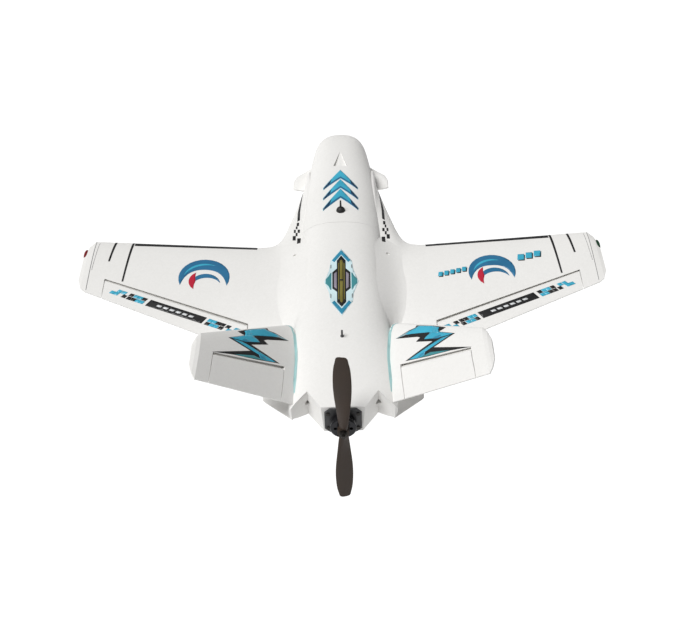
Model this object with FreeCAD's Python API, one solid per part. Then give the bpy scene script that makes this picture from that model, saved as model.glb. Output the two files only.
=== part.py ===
import FreeCAD, Part
import math
import os

# Radio-control foam aeroplane with a V-tail and a pusher propeller.
# Millimetres. X points to starboard, Y forward and Z up.
# The origin is the centre of the flat underside of the belly skid.

V = FreeCAD.Vector
Placement = FreeCAD.Placement
Rotation = FreeCAD.Rotation

os.makedirs("parts", exist_ok=True)

# ---------------------------------------------------------------- driving dimensions

# Fuselage stations: distance forward, half width, top height, bottom height.
FUSELAGE = [
    (327.0, 6.0, 66.0, 56.0),
    (325.5, 15.0, 73.0, 49.0),
    (321.5, 25.0, 80.5, 41.0),
    (314.0, 34.0, 87.5, 32.5),
    (300.0, 42.5, 94.5, 23.5),
    (276.0, 49.0, 100.0, 15.0),
    (246.0, 53.5, 103.5, 8.5),
    (210.0, 58.5, 106.5, 3.5),
    (160.0, 65.0, 109.5, 0.5),
    (100.0, 69.0, 112.0, 0.0),
    (20.0, 72.0, 113.5, 0.0),
    (-60.0, 74.0, 113.0, 0.0),
    (-150.0, 76.5, 110.0, 3.0),
    (-220.0, 78.5, 105.0, 12.0),
    (-290.0, 79.0, 97.0, 26.0),
    (-345.0, 78.0, 89.0, 38.0),
    (-368.0, 77.0, 86.5, 42.0),
]
SECTION_POWER = 2.5
SECTION_POINTS = 28
WALL = 12.0
BAY_FRONT = 280.0
BAY_REAR = -140.0

# Lift-off hatch over the equipment bay.
HATCH_SPLIT_Z = 84.0
HATCH_REAR = 24.0
HATCH_GAP = 0.35

# Zigzag tail end of the fuselage.
NOTCH_X = 51.0
NOTCH_Y = -322.0
LUMP_X = 74.0
LUMP_Y = -343.0
BLOCK_X = 28.0
OUTLET_R = 4.0
OUTLET_Z = 64.0

# Belly skid.
SKID_T = 3.0
SKID_HALF_W = 24.0
SKID_FRONT = 150.0
SKID_REAR = -120.0

# Wing, drawn flat and then turned to its dihedral and incidence.
WING_Z = 61.5
WING_LE = 8.5
DIHEDRAL = 4.5
INCIDENCE = 2.0
# Root strake: distance from the centreline, leading edge, trailing edge, thickness.
STRAKE = [
    (57.0, 215.0, -239.0, 46.0),
    (64.0, 178.0, -238.0, 43.0),
    (71.0, 141.0, -236.5, 39.5),
    (79.0, 107.0, -235.0, 36.0),
    (88.0, 72.5, -233.0, 33.0),
    (98.0, 37.5, -231.0, 30.5),
    (107.0, 20.0, -229.5, 29.0),
    (118.0, 12.2, -228.0, 27.7),
    (129.0, 9.6, -226.5, 26.8),
    (139.0, 8.5, -225.0, 26.0),
]
# Moulded blend: station, where it leaves the body, where it meets the wing, depth of its edges.
BLEND = [
    (22.0, 64.0, 80.0, 4.0),
    (4.0, 57.5, 92.5, 0.8),
    (-40.0, 49.0, 107.0, 0.5),
    (-90.0, 47.0, 109.0, 0.5),
    (-135.0, 50.0, 106.0, 0.5),
    (-172.0, 57.0, 96.0, 0.8),
    (-205.0, 67.0, 80.0, 4.0),
]
BLEND_SLOPE = 0.05  # extra slope with which the blend's edges cross the body and the wing
TIP_X = 408.0
TIP_TE = -108.0
TIP_THICK = 12.0
TRAILING_EDGE = 1.8
ELEVON_IN = 146.0
ELEVON_OUT = 380.5
ELEVON_HINGE_IN = -173.0
ELEVON_HINGE_OUT = -84.0
# Tip cap stations beyond the panel, in the same order as the strake.
TIP_CAP = [
    (408.0, 8.5, -108.0, 12.0),
    (416.0, -3.5, -101.0, 9.0),
    (422.0, -22.5, -84.0, 4.5),
]

# Tail fin, drawn flat with its span outward and then turned up.
FIN_X = 73.0
FIN_Z = 78.0
FIN_TILT = 37.6
FIN_SPAN = 156.0
FIN_LE_ROOT = -178.0
FIN_LE_TIP = -285.6
FIN_TE_ROOT = -337.0
FIN_TE_TIP = -371.0
FIN_THICK_ROOT = 15.0
FIN_THICK_TIP = 8.5
FIN_CORNER_IN = 2.5
FIN_CORNER_OUT = 21.0
FIN_CORNER_Y = -213.0
RUDDER_IN = 18.0
RUDDER_OUT = 135.5
RUDDER_HINGE_IN = -282.5
RUDDER_HINGE_OUT = -317.0

# Ventral fin, drawn flat and then turned down.
VENTRAL_X = 60.0
VENTRAL_Z = 59.0
VENTRAL_TILT = -32.5
VENTRAL_SPAN = 71.0

# Control linkage.
HINGE_WIRE_R = 0.8
RUNNING = 0.05
END_GAP = 1.1
WIRE_R = 0.7
SERVO_T = 9.0
ELEVON_ARM = 15.0
ELEVON_ROD = 52.0
ELEVON_LINK_X = 215.0
RUDDER_ARM = 13.0
RUDDER_ROD = 40.0
RUDDER_LINK_S = 52.0

# Motor and propeller on the tilted thrust line.
HUB_Y = -378.0
HUB_Z = 66.0
THRUST_TILT = 6.0
PLATE_FRONT = -23.5
PLATE_T = 3.0
PROP_R = 137.0
SHAFT_R = 2.5
BELL_R = 18.8

# Wing spar tubes.
SPAR_Y = -30.0
SPAR_R = 4.0
SPAR_BORE_R = 3.0
SPAR_IN = 16.0
SPAR_OUT = 290.0

# Equipment.
TRAY_Z = 11.0
TRAY_T = 3.0
TRAY_HALF_W = 26.0


# ---------------------------------------------------------------- helpers

def box(x0, x1, y0, y1, z0, z1):
    """Box between two corners."""
    return Part.makeBox(x1 - x0, y1 - y0, z1 - z0, V(x0, y0, z0))


def cyl(radius, start, end):
    """Round bar from one point to another."""
    along = end - start
    return Part.makeCylinder(radius, along.Length, start, along)


def plate(points, z0, z1):
    """Flat plate with a polygon outline in X and Y."""
    corners = [V(x, y, z0) for x, y in points]
    face = Part.Face(Part.makePolygon(corners + corners[:1]))
    return face.extrude(V(0, 0, z1 - z0))


def moved(shape, place):
    """Copy of a shape carried by a placement."""
    copy = shape.copy()
    copy.Placement = place.multiply(copy.Placement)
    return copy


def mirrored(shape):
    """The same piece on the other side of the centreline."""
    return shape.mirror(V(0, 0, 0), V(1, 0, 0))


def solid_of(shape):
    """Largest solid of a boolean result, cleaned of leftover slivers."""
    return sorted(shape.Solids, key=lambda s: s.Volume)[-1]


def fused(shapes):
    """One solid from overlapping shapes."""
    return solid_of(shapes[0].multiFuse(shapes[1:]).removeSplitter())


def superellipse(y, half_w, z_top, z_bot):
    """Closed rounded section of the fuselage at one station."""
    mid = (z_top + z_bot) / 2.0
    half_h = (z_top - z_bot) / 2.0
    bend = 2.0 / SECTION_POWER
    points = []
    for i in range(SECTION_POINTS):
        turn = 2.0 * math.pi * i / SECTION_POINTS
        c = math.cos(turn)
        s = math.sin(turn)
        x = half_w * math.copysign(abs(c) ** bend, c)
        z = mid + half_h * math.copysign(abs(s) ** bend, s)
        points.append(V(x, y, z))
    curve = Part.BSplineCurve()
    curve.interpolate(Points=points, PeriodicFlag=True)
    return Part.Wire([curve.toShape()])


def half_thickness(u, thick, edge):
    """Half height of a symmetric aerofoil at a fraction of its chord."""
    shape = 0.2969 * math.sqrt(u) - 0.1260 * u - 0.3516 * u ** 2 + 0.2843 * u ** 3 - 0.1015 * u ** 4
    return 5.0 * thick * shape + (edge / 2.0 - 0.0525 * thick * 0.2) * u


def aerofoil(x, y_le, y_te, thick, edge=TRAILING_EDGE):
    """Closed symmetric aerofoil section in the plane of one X."""
    chord = y_le - y_te
    stations = [1.0, 0.86, 0.7, 0.54, 0.38, 0.24, 0.13, 0.055, 0.014]
    upper = [V(x, y_le - chord * u, half_thickness(u, thick, edge)) for u in stations]
    lower = [V(x, p.y, -p.z) for p in reversed(upper)]
    curve = Part.BSplineCurve()
    curve.interpolate(upper + [V(x, y_le, 0)] + lower)
    return Part.Wire([curve.toShape(), Part.makeLine(lower[-1], upper[0])])


def loft(wires, ruled=False):
    """Solid skinned through sections."""
    return Part.makeLoft(wires, True, ruled)


def between(a, b, t):
    """Straight-line mix of two values."""
    return a + (b - a) * t


def cone_between(start, r_start, end, r_end):
    """Tapered round bar between two points."""
    along = end - start
    return Part.makeCone(r_start, r_end, along.Length, start, along)


def extended(start, end, before, after):
    """A line made longer at both ends."""
    along = (end - start).normalize()
    return start - along * before, end + along * after


# ---------------------------------------------------------------- placements

WING = (
    Placement(V(0, 0, WING_Z), Rotation(V(0, 1, 0), -DIHEDRAL))
    * Placement(V(0, WING_LE, 0), Rotation(V(1, 0, 0), INCIDENCE))
    * Placement(V(0, -WING_LE, 0), Rotation())
)
FIN = Placement(V(FIN_X, 0, FIN_Z), Rotation(V(0, 1, 0), -FIN_TILT))
VENTRAL = Placement(V(VENTRAL_X, 0, VENTRAL_Z), Rotation(V(0, 1, 0), -VENTRAL_TILT))
MOTOR = Placement(V(0, HUB_Y, HUB_Z), Rotation(V(1, 0, 0), 90.0 - THRUST_TILT))


def hinge_line(x_in, y_in, x_out, y_out):
    """Ends of a control surface's hinge, on the flat drawing."""
    return V(x_in, y_in, 0), V(x_out, y_out, 0)


def link_frame(ends, x):
    """Frame on the hinge at one X: local X along the hinge, local Y forward."""
    start, end = ends
    t = (x - start.x) / (end.x - start.x)
    turn = math.degrees(math.atan2(end.y - start.y, end.x - start.x))
    point = start + (end - start) * t
    return Placement(point, Rotation(V(0, 0, 1), turn))


ELEVON_ENDS = hinge_line(ELEVON_IN, ELEVON_HINGE_IN, ELEVON_OUT, ELEVON_HINGE_OUT)
RUDDER_ENDS = hinge_line(RUDDER_IN, RUDDER_HINGE_IN, RUDDER_OUT, RUDDER_HINGE_OUT)
ELEVON_LINK = link_frame(ELEVON_ENDS, ELEVON_LINK_X)
RUDDER_LINK = link_frame(RUDDER_ENDS, RUDDER_LINK_S)


# ---------------------------------------------------------------- control linkage

def servo(rod):
    """Servo case lying on its side, with ears, boss and output shaft."""
    half = SERVO_T / 2.0
    case = box(-26, -5, rod - 17, rod + 6, -half, half)
    ears = box(-12, -10.4, rod - 21.5, rod + 10.5, -half, half)
    boss = cyl(4.2, V(-5.5, rod, 0), V(-3, rod, 0))
    shaft = cyl(2.0, V(-3.5, rod, 0), V(1.0, rod, 0))
    return fused([case, ears, boss, shaft])


def servo_pocket(rod):
    """Space the servo and its arm take out of the foam, open below."""
    half = SERVO_T / 2.0
    case = box(-26, -5, rod - 17, rod + 6, -30, half)
    ears = box(-12, -10.4, rod - 21.5, rod + 10.5, -30, half)
    arm = box(-5, 4, rod - 11, rod + 11, -30, half)
    return case.multiFuse([ears, arm])


def lever(points, radius, eye):
    """Flat lever in the Y-Z plane with a rounded eye at its lower end."""
    corners = [V(-0.8, y, z) for y, z in points]
    face = Part.Face(Part.makePolygon(corners + corners[:1]))
    blade = face.extrude(V(1.6, 0, 0))
    ring = cyl(radius, V(-0.8, eye[0], eye[1]), V(0.8, eye[0], eye[1]))
    hole = cyl(WIRE_R + RUNNING, V(-2, eye[0], eye[1]), V(2, eye[0], eye[1]))
    return fused([blade, ring]).cut(hole)


def servo_arm(rod, arm):
    """Arm on the servo shaft, pointing down to the pushrod."""
    blade = lever([(rod - 3.2, 0), (rod + 3.2, 0), (rod + 2.3, -arm), (rod - 2.3, -arm)], 2.4, (rod, -arm))
    hub = cyl(3.6, V(-1.6, rod, 0), V(0.8, rod, 0))
    bore = cyl(2.0 + RUNNING, V(-3, rod, 0), V(2, rod, 0))
    return solid_of(fused([blade, hub]).cut(bore))


def control_horn(arm):
    """Horn let into the underside of the surface, eye straight below the hinge."""
    outline = [(-3.0, -1.5), (-17, -1.5), (-17, -4.5), (-2.2, -arm - 0.6), (1.9, -arm + 1.4)]
    blade = lever(outline, 2.5, (0, -arm))
    return solid_of(blade)


def pushrod(rod, arm):
    """Wire from the servo arm to the horn, with both ends bent into their eyes."""
    side = 2.3
    corner_a = V(side, rod, -arm)
    corner_b = V(side, 0, -arm)
    pieces = [
        cyl(WIRE_R, corner_a, corner_b),
        Part.makeSphere(WIRE_R, corner_a),
        Part.makeSphere(WIRE_R, corner_b),
        cyl(WIRE_R, corner_a, V(-1.8, rod, -arm)),
        cyl(WIRE_R, corner_b, V(-1.8, 0, -arm)),
    ]
    return fused(pieces)


def hinge_groove(ends, radii, widths):
    """Wedge taken off the upper side of a surface's nose, wider at one end than the other."""
    wires = []
    for end, reach, radius, width in zip(ends, (-8.0, 8.0), radii, widths):
        slope = -1.2 * radius / (radius + 1.0 + width)
        far = radius + 12.0
        low = radius + slope * (far + width)
        outline = [(-width, radius), (-width, radius + 30), (far, radius + 30), (far, low), (-width, radius)]
        wire = Part.makePolygon([V(0, y, z) for y, z in outline])
        wires.append(moved(wire, link_frame(ends, end.x + reach)))
    return loft(wires, True)


def split_surface(panel, ends, radii, rear, widths):
    """Part a panel along a hinge into a fixed panel and a moving surface."""
    start, end = ends
    nose_in, nose_out = radii
    cove_in = 1.12 * nose_in + 0.5
    cove_out = 1.12 * nose_out + 0.5
    slope = (end.y - start.y) / (end.x - start.x)

    def line_y(x):
        return start.y + slope * (x - start.x)

    def behind(x_in, x_out):
        corners = [(x_in, line_y(x_in)), (x_out, line_y(x_out)), (x_out, rear), (x_in, rear)]
        return plate(corners, -40, 40)

    span = end.x - start.x

    def round_nose(x_in, x_out, r_in, r_out):
        taper = (r_out - r_in) / span
        a = V(x_in, line_y(x_in), 0)
        b = V(x_out, line_y(x_out), 0)
        return cone_between(a, r_in + taper * (x_in - start.x), b, r_out + taper * (x_out - end.x))

    gap = END_GAP
    cove = round_nose(start.x - 6, end.x + 6, cove_in, cove_out)
    opening = behind(start.x, end.x).fuse(cove)
    trim = plate([(start.x, -600), (end.x, -600), (end.x, 300), (start.x, 300)], -40, 40)
    opening = opening.common(trim)
    fixed = solid_of(panel.cut(opening))
    inner = start.x + gap
    outer = end.x - gap
    blank = behind(inner, outer).common(panel)
    nose = round_nose(inner - 3, outer + 3, nose_in, nose_out)
    nose = nose.common(plate([(inner, -600), (outer, -600), (outer, 300), (inner, 300)], -40, 40))
    moving = fused([solid_of(blank), nose])
    moving = solid_of(moving.cut(hinge_groove(ends, radii, widths)))
    bore_a, bore_b = extended(start, end, 30, 30)
    moving = solid_of(moving.cut(cyl(HINGE_WIRE_R + RUNNING, bore_a, bore_b)))
    wire_a, wire_b = extended(start, end, 11, 11)
    wire = cyl(HINGE_WIRE_R, wire_a, wire_b)
    fixed = solid_of(fixed.cut(wire))
    return fixed, moving, wire


def fit_linkage(fixed, moving, frame, rod, arm):
    """Let the servo into the fixed panel and the horn into the moving surface."""
    pocket = moved(servo_pocket(rod), frame)
    horn = moved(control_horn(arm), frame)
    fixed = solid_of(fixed.cut(pocket))
    moving = solid_of(moving.cut(horn))
    return {
        "fixed": fixed,
        "moving": moving,
        "servo": moved(servo(rod), frame),
        "arm": moved(servo_arm(rod, arm), frame),
        "rod": moved(pushrod(rod, arm), frame),
        "horn": horn,
    }


# ---------------------------------------------------------------- fuselage

def fuselage_blank():
    """Full outer body before the bay, hatch and tail cuts."""
    body = loft([superellipse(*s) for s in FUSELAGE])
    body = body.cut(box(-100, 100, -400, 340, -20, SKID_T))
    end_cut = box(-100, 100, -100, 100, PLATE_FRONT, 200)
    body = body.cut(moved(end_cut, MOTOR))
    for side in (1, -1):
        corners = [
            (NOTCH_X * side, NOTCH_Y),
            (LUMP_X * side, LUMP_Y),
            (110 * side, LUMP_Y + 24),
            (110 * side, -420),
            (BLOCK_X * side, -420),
            (BLOCK_X * side, -357),
        ]
        body = body.cut(plate(corners, -20, 150))
    return solid_of(body)


def bay_blank():
    """Hollow of the equipment bay."""
    sections = [(BAY_FRONT, 30.0, 82.0, 34.0)]
    for y, half_w, z_top, z_bot in FUSELAGE:
        if BAY_REAR < y < BAY_FRONT - 30:
            sections.append((y, half_w - WALL, z_top - WALL, z_bot + WALL))
    sections.append((BAY_REAR, 62.0, 97.0, 15.0))
    return loft([superellipse(*s) for s in sections])


def tray_outline():
    """Outline of the plywood equipment tray."""
    front = 205.0
    return [
        (-TRAY_HALF_W, -110), (TRAY_HALF_W, -110), (TRAY_HALF_W, front - 20),
        (TRAY_HALF_W - 12, front), (12 - TRAY_HALF_W, front), (-TRAY_HALF_W, front - 20),
    ]


def intake_recess():
    """Shallow ramped intake in the top of the nose."""
    base_l = V(-12.5, 188, 102.4)
    base_r = V(12.5, 188, 102.4)
    lift = V(0, 0, 30)
    apex = V(0, 237, 104.3)
    faces = [
        Part.makePolygon([apex, base_l, base_r, apex]),
        Part.makePolygon([apex + lift, base_l + lift, base_r + lift, apex + lift]),
    ]
    return Part.makeLoft(faces, True, True)


def skid_outline():
    """Outline of the belly skid with rounded ends."""
    points = []
    for i in range(9):
        turn = math.pi * i / 8.0
        points.append((SKID_HALF_W * math.cos(turn), SKID_FRONT - 24 + 24 * math.sin(turn)))
    for i in range(9):
        turn = math.pi + math.pi * i / 8.0
        points.append((SKID_HALF_W * math.cos(turn), SKID_REAR + 24 + 24 * math.sin(turn)))
    return points


blank = fuselage_blank()
bay = bay_blank()
tray = plate(tray_outline(), TRAY_Z, TRAY_Z + TRAY_T)
tray_space = plate(tray_outline(), TRAY_Z, TRAY_Z + 35.0)
hatch_zone = box(-90, 90, HATCH_REAR, 340, HATCH_SPLIT_Z, 130)
hatch_zone_inner = box(-90, 90, HATCH_REAR + HATCH_GAP, 340, HATCH_SPLIT_Z + HATCH_GAP, 130)
hatch = solid_of(blank.common(hatch_zone_inner).cut(bay).cut(intake_recess()))
fuselage = blank.cut(bay).cut(hatch_zone).cut(tray_space)
for side in (1, -1):
    duct = cyl(OUTLET_R, V(NOTCH_X * side, -345, OUTLET_Z), V(NOTCH_X * side, BAY_REAR + 5, OUTLET_Z))
    fuselage = fuselage.cut(duct)
fuselage = fuselage.cut(cyl(9.0, V(0, BAY_REAR + 5, 63), V(0, -365, 63)))
skid = plate(skid_outline(), 0, SKID_T)

# ---------------------------------------------------------------- wing

def row_between(table, column, value):
    """Row of a table of stations, mixed where one column has the value."""
    for first, second in zip(table, table[1:]):
        low, high = sorted((first[column], second[column]))
        if low <= value <= high:
            t = (value - first[column]) / (second[column] - first[column])
            return [between(a, b, t) for a, b in zip(first, second)]
    return table[-1]


def body_height(x, y):
    """Height of the body's upper surface."""
    half_w, z_top, z_bot = row_between(FUSELAGE, 0, y)[1:]
    swell = (1.0 - (x / half_w) ** SECTION_POWER) ** (1.0 / SECTION_POWER)
    return (z_top + z_bot) / 2.0 + (z_top - z_bot) / 2.0 * swell


def glove_height(x, y):
    """Height of the wing's upper surface over its own flat plane."""
    le, te, thick = row_between(STRAKE, 0, x)[1:]
    return half_thickness((le - y) / (le - te), thick, TRAILING_EDGE)


def blend_section(y, x_body, x_wing, depth):
    """Section of the blend: a hollow curve from the body down onto the wing, closed underneath."""
    to_flat = WING.inverse()
    start = to_flat.multVec(V(x_body, y, body_height(x_body, y) - depth))
    beside = to_flat.multVec(V(x_body + 1.0, y, body_height(x_body + 1.0, y) - depth))
    end = V(x_wing, y, glove_height(x_wing, y) - depth)
    start.y = y
    beside.y = y
    reach = (end - start).Length / 3.0
    leave = beside - start + V(0, 0, BLEND_SLOPE)
    arrive = V(1, 0, glove_height(x_wing + 1.0, y) - end.z - depth - BLEND_SLOPE)
    curve = Part.BezierCurve()
    curve.setPoles([start, start + leave.normalize() * reach, end - arrive.normalize() * reach, end])
    below = [V(end.x, y, 0), V(start.x, y, 0)]
    sides = [Part.makeLine(end, below[0]), Part.makeLine(below[0], below[1]), Part.makeLine(below[1], start)]
    return Part.Wire([curve.toShape()] + sides)


glove = loft([aerofoil(*s) for s in STRAKE])
blend = loft([blend_section(*s) for s in BLEND])
outer_panel = loft([
    aerofoil(*STRAKE[-1]),
    aerofoil(TIP_X, WING_LE, TIP_TE, TIP_THICK),
], True)
panel = fused([glove, outer_panel, blend])


def wing_radius(x, y_hinge):
    """Half thickness of the wing panel at the hinge."""
    t = (x - STRAKE[-1][0]) / (TIP_X - STRAKE[-1][0])
    te = between(STRAKE[-1][2], TIP_TE, t)
    thick = between(STRAKE[-1][3], TIP_THICK, t)
    return half_thickness((WING_LE - y_hinge) / (WING_LE - te), thick, TRAILING_EDGE)


radii = (wing_radius(ELEVON_IN, ELEVON_HINGE_IN) - 0.25, wing_radius(ELEVON_OUT, ELEVON_HINGE_OUT) - 0.15)
wing_fixed, elevon_flat, elevon_wire = split_surface(panel, ELEVON_ENDS, radii, -300, (2.2, 1.4))
wing_set = fit_linkage(wing_fixed, elevon_flat, ELEVON_LINK, ELEVON_ROD, ELEVON_ARM)
spar_flat = cyl(SPAR_R, V(SPAR_IN, SPAR_Y, 0), V(SPAR_OUT, SPAR_Y, 0))
spar_flat = spar_flat.cut(cyl(SPAR_BORE_R, V(SPAR_IN - 1, SPAR_Y, 0), V(SPAR_OUT + 1, SPAR_Y, 0)))
spar_space = cyl(SPAR_R, V(SPAR_IN, SPAR_Y, 0), V(SPAR_OUT, SPAR_Y, 0))
screw_x = 78.0
screw_seat = 19.4
screw_flat = fused([
    cyl(1.5, V(screw_x, SPAR_Y, SPAR_R), V(screw_x, SPAR_Y, screw_seat + 1.0)),
    cyl(2.7, V(screw_x, SPAR_Y, screw_seat), V(screw_x, SPAR_Y, screw_seat + 1.6)),
])
screw_hole = fused([
    cyl(1.5, V(screw_x, SPAR_Y, SPAR_R - 1), V(screw_x, SPAR_Y, screw_seat + 1.0)),
    cyl(2.7, V(screw_x, SPAR_Y, screw_seat), V(screw_x, SPAR_Y, 40)),
])
wing_flat = wing_set["fixed"].cut(spar_space).cut(screw_hole)
elevon = moved(wing_set["moving"], WING)
wing_screw = moved(screw_flat, WING)

tip_flat = loft([aerofoil(*s) for s in TIP_CAP], True)
light_centre = V(420.0, -23.5, 0)
light_flat = Part.makeSphere(4.0)
stretch = FreeCAD.Matrix()
stretch.A22 = 3.0
light_flat = light_flat.transformGeometry(stretch)
light_flat.translate(light_centre)
tip_flat = solid_of(tip_flat.cut(light_flat))

# ---------------------------------------------------------------- tail fins

fin_taper = (FIN_THICK_TIP - FIN_THICK_ROOT) / FIN_SPAN


def fin_edges(s):
    """Leading edge, trailing edge and thickness of the tail fin at one span station."""
    t = s / FIN_SPAN
    return (
        between(FIN_LE_ROOT, FIN_LE_TIP, t),
        between(FIN_TE_ROOT, FIN_TE_TIP, t),
        between(FIN_THICK_ROOT, FIN_THICK_TIP, t),
    )


fin_panel = loft([aerofoil(-22.0, *fin_edges(-22.0)), aerofoil(FIN_SPAN, *fin_edges(FIN_SPAN))], True)


def fin_tip(out, le, te, thick, drop):
    """Section of the bevelled fin tip, dropped towards the outer face."""
    wire = aerofoil(FIN_SPAN + out, FIN_LE_TIP + le, FIN_TE_TIP + te, thick)
    wire.translate(V(0, 0, -drop))
    return wire


fin_end = loft([
    fin_tip(0.0, 0.0, 0.0, FIN_THICK_TIP, 0.0),
    fin_tip(5.0, -9.0, 9.0, 6.0, 1.3),
    fin_tip(9.0, -24.0, 24.0, 2.6, 3.0),
], True)
fin_panel = fused([fin_panel, fin_end])

# The leading edge rounds into the body at the root.
corner_in = V(FIN_CORNER_IN, FIN_CORNER_Y, -30)
corner_peak = V(FIN_CORNER_IN, fin_edges(FIN_CORNER_IN)[0], -30)
corner_out = V(FIN_CORNER_OUT, fin_edges(FIN_CORNER_OUT)[0], -30)
round_edge = Part.BezierCurve()
round_edge.setPoles([corner_in, corner_peak, corner_out])
outside = [V(FIN_CORNER_OUT, -140, -30), V(-40, -140, -30), V(-40, FIN_CORNER_Y, -30)]
straight_edges = Part.makePolygon([corner_out] + outside + [corner_in]).Edges
corner_face = Part.Face(Part.Wire([round_edge.toShape()] + straight_edges))
corner_cut = corner_face.extrude(V(0, 0, 60))
fin_panel = solid_of(fin_panel.cut(corner_cut))


def fin_radius(s, y_hinge):
    """Half thickness of the tail fin at the hinge."""
    le, te, thick = fin_edges(s)
    return half_thickness((le - y_hinge) / (le - te), thick, TRAILING_EDGE)


radii = (fin_radius(RUDDER_IN, RUDDER_HINGE_IN) - 0.2, fin_radius(RUDDER_OUT, RUDDER_HINGE_OUT) - 0.15)
fin_fixed, rudder_flat, rudder_wire = split_surface(fin_panel, RUDDER_ENDS, radii, -420, (3.2, 2.2))
fin_set = fit_linkage(fin_fixed, rudder_flat, RUDDER_LINK, RUDDER_ROD, RUDDER_ARM)
ruddervator = moved(fin_set["moving"], FIN)

# ---------------------------------------------------------------- small fins

ventral_flat = loft([
    aerofoil(-6.0, -196.0, -361.0, 13.0, 3.0),
    aerofoil(12.0, -206.0, -348.0, 12.0, 3.0),
    aerofoil(VENTRAL_SPAN - 4, -236.0, -288.0, 9.0, 3.4),
    aerofoil(VENTRAL_SPAN, -241.0, -283.0, 7.0, 3.4),
], True)
notch_corners = [(NOTCH_X, NOTCH_Y), (LUMP_X, LUMP_Y), (LUMP_X, -420), (20, -420), (20, NOTCH_Y)]
notch_space = plate(notch_corners, -20, 150)
ventral = moved(ventral_flat, VENTRAL).cut(notch_space)

NOSE_FIN_Z = 58.0
nose_fin_flat = loft([
    aerofoil(44.0, 258.0, 176.0, 9.0, 2.6),
    aerofoil(80.0, 224.0, 184.5, 6.5, 2.6),
    aerofoil(84.5, 214.0, 186.0, 5.5, 2.6),
    aerofoil(86.5, 205.0, 188.0, 3.0, 2.0),
], True)
nose_fin_flat.translate(V(0, 0, NOSE_FIN_Z))

# ---------------------------------------------------------------- motor and propeller

def motor_plate():
    """Cut-cornered plate on the end of the fuselage."""
    corners = [
        (26.5, 15), (19, 22), (-19, 22), (-26.5, 15),
        (-26.5, -15), (-19, -22), (19, -22), (26.5, -15),
    ]
    sheet = plate(corners, PLATE_FRONT, PLATE_FRONT + PLATE_T)
    return sheet.cut(cyl(3.6, V(0, 0, -30), V(0, 0, 0)))


def around(count, radius, start=0.0):
    """Points evenly spaced round the thrust line."""
    return [
        (radius * math.cos(math.radians(start + 360.0 * i / count)),
         radius * math.sin(math.radians(start + 360.0 * i / count)))
        for i in range(count)
    ]


PLATE_REAR = PLATE_FRONT + PLATE_T
mount_points = around(4, 11.0, 45.0)
corner_points = [(21.5, 13.5), (-21.5, 13.5), (-21.5, -13.5), (21.5, -13.5)]


def screw(x, y, seat, radius, head_r, head_h, length):
    """Pan-head screw with its head resting on a seat and its shank going forward."""
    head = cyl(head_r, V(x, y, seat), V(x, y, seat + head_h))
    shank = cyl(radius, V(x, y, seat - length), V(x, y, seat + 0.5))
    return fused([head, shank])


motor_plate_flat = motor_plate()
plate_screws = [screw(x, y, PLATE_REAR, 1.4, 2.7, 1.8, 14.0) for x, y in corner_points]
base_flange = cyl(15.5, V(0, 0, PLATE_REAR), V(0, 0, PLATE_REAR + 2.6))
motor_screws = []
for x, y in mount_points:
    motor_screws.append(screw(x, y, PLATE_REAR + 2.6, 1.4, 2.5, 1.2, 7.0))
stator = cyl(15.6, V(0, 0, -16.4), V(0, 0, -8.2))
neck = cyl(7.5, V(0, 0, PLATE_REAR + 2.0), V(0, 0, -15.8))
motor_base = fused([base_flange, neck, stator])
motor_base = motor_base.cut(cyl(SHAFT_R + RUNNING, V(0, 0, -30), V(0, 0, 0)))
for piece in plate_screws + motor_screws:
    motor_plate_flat = motor_plate_flat.cut(piece)
    motor_base = motor_base.cut(piece)
motor_base = solid_of(motor_base)
motor_plate_flat = solid_of(motor_plate_flat)

bell = cyl(BELL_R, V(0, 0, -16.8), V(0, 0, -4.6))
bell = bell.cut(cyl(16.4, V(0, 0, -17), V(0, 0, -7.4)))
bell = bell.makeChamfer(1.2, [e for e in bell.Edges if abs(e.BoundBox.ZMin + 4.6) < 0.01])
for x, y in around(6, 11.2):
    bell = bell.cut(cyl(2.6, V(x, y, -9), V(x, y, -3)))
bell = solid_of(bell.cut(cyl(SHAFT_R, V(0, 0, -20), V(0, 0, 0))))
shaft = cyl(SHAFT_R, V(0, 0, -25.0), V(0, 0, 13.5))

# Blade stations: radius, chord, blade angle, thickness.
BLADE = [
    (5.0, 13.0, 34.0, 7.0),
    (22.0, 18.5, 32.0, 5.0),
    (40.0, 21.5, 27.0, 4.0),
    (62.0, 24.8, 20.0, 3.3),
    (85.0, 26.3, 15.0, 2.8),
    (105.0, 25.0, 12.2, 2.4),
    (121.0, 21.5, 10.6, 2.1),
    (131.0, 17.5, 9.8, 1.9),
    (136.0, 13.5, 9.4, 1.6),
    (PROP_R, 10.0, 9.3, 1.2),
]


def blade_section(radius, chord, angle, thick):
    """Thin cambered blade section at one radius."""
    c = math.cos(math.radians(angle))
    s = math.sin(math.radians(angle))
    outline = []
    for u, upper, lower in ((0.06, 0.38, 0.22), (0.3, 0.72, 0.28), (0.6, 0.62, 0.2), (0.92, 0.24, 0.1)):
        outline.append(((0.5 - u) * chord, upper * thick, -lower * thick))
    ring = [(0.5 * chord, 0.08 * thick)]
    ring += [(a, up) for a, up, low in outline]
    ring += [(-0.5 * chord, 0.05 * thick)]
    ring += [(a, low) for a, up, low in reversed(outline)]
    points = [V(a * c - b * s, radius, a * s + b * c) for a, b in ring]
    curve = Part.BSplineCurve()
    curve.interpolate(Points=points, PeriodicFlag=True)
    return Part.Wire([curve.toShape()])


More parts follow.
